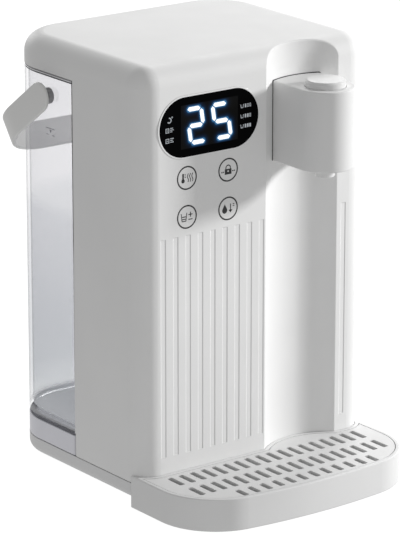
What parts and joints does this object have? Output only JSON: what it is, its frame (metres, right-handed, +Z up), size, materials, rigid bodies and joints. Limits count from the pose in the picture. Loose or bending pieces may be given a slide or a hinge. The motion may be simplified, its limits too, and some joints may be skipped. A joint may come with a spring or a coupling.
{
  "type": "hot water dispenser",
  "caption": "Desktop instant hot water dispenser: white box body with display and touch panel, spout over a slotted drip tray, clear rear water tank with a bail handle.",
  "frame": {"origin": "centre of the bounding box in plan, on the table under the feet", "axes": "+X to the right seen from the front, +Y to the rear (tank side), +Z up"},
  "size_m": [0.2054, 0.2394, 0.297],
  "materials": {
    "shell_white": "fine satin moulded ABS",
    "base_grey": "satin moulded ABS",
    "bezel_white": "polished rim",
    "lens_black": "polished acrylic",
    "tank_clear": "clear moulded copolymer",
    "tank_cap_grey": "smoke grey moulding",
    "seal_dark": "moulded rubber",
    "handle_grey": "satin moulded",
    "pivot_dark": "satin moulded",
    "tray_white": "satin moulded ABS",
    "grille_white": "satin moulded ABS",
    "spout_white": "satin moulded ABS",
    "button_white": "satin moulded ABS",
    "nozzle_white": "moulded food grade",
    "foot_rubber": "moulded rubber",
    "steel": "plated",
    "board_green": "solder mask",
    "module_dark": "moulded",
    "hose_silicone": "translucent silicone",
    "heater_metal": "turned",
    "pump_black": "moulded",
    "inner_white": "moulded"
  },
  "bodies": {
    "housing": {"main_shell": "shell_white", "rear_partition": "inner_white", "partition_screws": "steel", "base_plate": "base_grey", "rubber_feet": "foot_rubber", "base_screws": "steel", "mains_gland": "seal_dark", "display_bezel": "bezel_white", "display_lens": "lens_black", "display_board": "board_green", "digit_module": "module_dark", "touch_springs": "steel", "board_standoffs": "inner_white", "spout_shell": "spout_white", "spout_screws": "steel", "spout_base": "spout_white", "outlet_nozzle": "nozzle_white", "button_carrier": "inner_white", "button_switch": "module_dark", "button_spring": "steel", "tank_dock": "inner_white", "dock_seal": "seal_dark", "pump_body": "pump_black", "pump_cover": "pump_black", "heater_tube": "heater_metal", "heater_clips": "steel", "thermal_cutout": "module_dark", "inlet_hose": "hose_silicone", "pump_hose": "hose_silicone", "outlet_hose": "hose_silicone", "hose_clips": "steel", "power_board": "board_green", "board_pillars": "inner_white"},
    "tank": {"tank_body": "tank_clear", "tank_lid_seal": "seal_dark", "tank_lid": "tank_cap_grey", "tank_gasket": "seal_dark", "tank_base_cap": "tank_cap_grey", "handle_pivots": "pivot_dark", "valve_seat": "inner_white", "valve_spring": "steel"},
    "handle": {"tank_handle": "handle_grey"},
    "valve": {"valve_plunger": "inner_white"},
    "tray": {"drip_tray": "tray_white"},
    "grille": {"drip_grille": "grille_white"},
    "button": {"spout_button": "button_white"},
    "impeller": {"pump_impeller": "inner_white"}
  },
  "joints": [
    {"name": "tank_slide", "type": "slide", "parent": "housing", "child": "tank", "axis": [0, 1, 0], "range_m": [0, 0.095]},
    {"name": "handle_swing", "type": "hinge", "parent": "tank", "child": "handle", "pos_m": [0, 0.05159, 0.2615], "axis": [1, 0, 0], "range_deg": [0, 126]},
    {"name": "valve_push", "type": "slide", "parent": "tank", "child": "valve", "axis": [0, 1, 0], "range_m": [0, 0.003], "stiffness_N_per_m": 200, "springref_m": -0.004, "deforming": ["valve_spring"]},
    {"name": "tray_slide", "type": "slide", "parent": "housing", "child": "tray", "axis": [0, -1, 0], "range_m": [0, 0.11]},
    {"name": "grille_lift", "type": "slide", "parent": "tray", "child": "grille", "axis": [0, 0, 1], "range_m": [0, 0.03]},
    {"name": "button_press", "type": "slide", "parent": "housing", "child": "button", "axis": [0, 0, -1], "range_m": [0, 0.002], "stiffness_N_per_m": 400, "springref_m": -0.003, "deforming": ["button_spring"]},
    {"name": "impeller_spin", "type": "hinge", "parent": "housing", "child": "impeller", "pos_m": [-0.04, -0.01231, 0.037], "axis": [0, 0, 1], "continuous": true}
  ]
}
